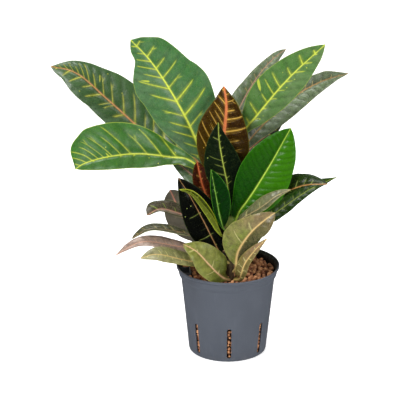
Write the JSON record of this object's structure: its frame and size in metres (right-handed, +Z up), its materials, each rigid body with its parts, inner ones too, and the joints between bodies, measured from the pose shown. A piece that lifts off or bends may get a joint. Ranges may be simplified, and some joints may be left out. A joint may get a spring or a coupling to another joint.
{
  "type": "potted croton",
  "caption": "Bushy croton plant with broad, yellow-veined leaves, rooted in clay granules in a slotted round culture pot.",
  "frame": {"origin": "centre of the flat underside of the pot", "axes": "+Z up along the pot's axis, -Y towards the plant's best side, +X to the right seen from there"},
  "size_m": [0.377, 0.2092, 0.4031],
  "materials": {
    "pot": "satin",
    "granules": "matte",
    "stem": "matte",
    "leaf_green": "satin",
    "leaf_bottle": "satin",
    "leaf_brown": "satin",
    "leaf_grey": "satin",
    "leaf_olive": "satin",
    "leaf_black": "satin",
    "leaf_young": "satin",
    "leaf_lime": "satin",
    "leaf_pink": "satin"
  },
  "bodies": {
    "root": {"pot": "pot", "granule_bed": "granules", "stem": "stem", "leaf_crown_tall": "leaf_green", "leaf_crown_far_left": "leaf_bottle", "leaf_crown_low_left": "leaf_green", "leaf_crown_centre": "leaf_brown", "leaf_crown_right": "leaf_green", "leaf_crown_right_back": "leaf_grey", "leaf_crown_right_low": "leaf_grey", "leaf_crown_right_short": "leaf_grey", "leaf_shoot_dark": "leaf_black", "leaf_shoot_small": "leaf_young", "leaf_shoot_bright": "leaf_young", "leaf_shoot_olive_folded": "leaf_lime", "leaf_shoot_olive_right": "leaf_olive", "leaf_left_dark": "leaf_bottle", "leaf_left_brown": "leaf_brown", "leaf_left_under": "leaf_bottle", "leaf_left_grey": "leaf_grey", "leaf_left_small": "leaf_black", "leaf_left_arching": "leaf_grey", "leaf_left_pink": "leaf_pink", "leaf_low_left": "leaf_olive", "leaf_low_left_front": "leaf_olive", "leaf_low_right_front": "leaf_olive", "leaf_low_right_small": "leaf_olive", "leaf_low_right_back": "leaf_olive", "leaf_right_upper": "leaf_black", "leaf_right_lower": "leaf_black", "leaf_back_high_left": "leaf_green", "leaf_back_high": "leaf_green", "leaf_back_right": "leaf_bottle", "leaf_back_mid": "leaf_bottle", "leaf_back_left": "leaf_bottle", "leaf_back_low_right": "leaf_olive", "leaf_back_low": "leaf_olive", "leaf_back_high_right": "leaf_green", "leaf_back_side_left": "leaf_green", "leaf_back_centre": "leaf_bottle", "leaf_back_low_left": "leaf_olive", "leaf_back_side_right": "leaf_bottle"}
  },
  "joints": []
}
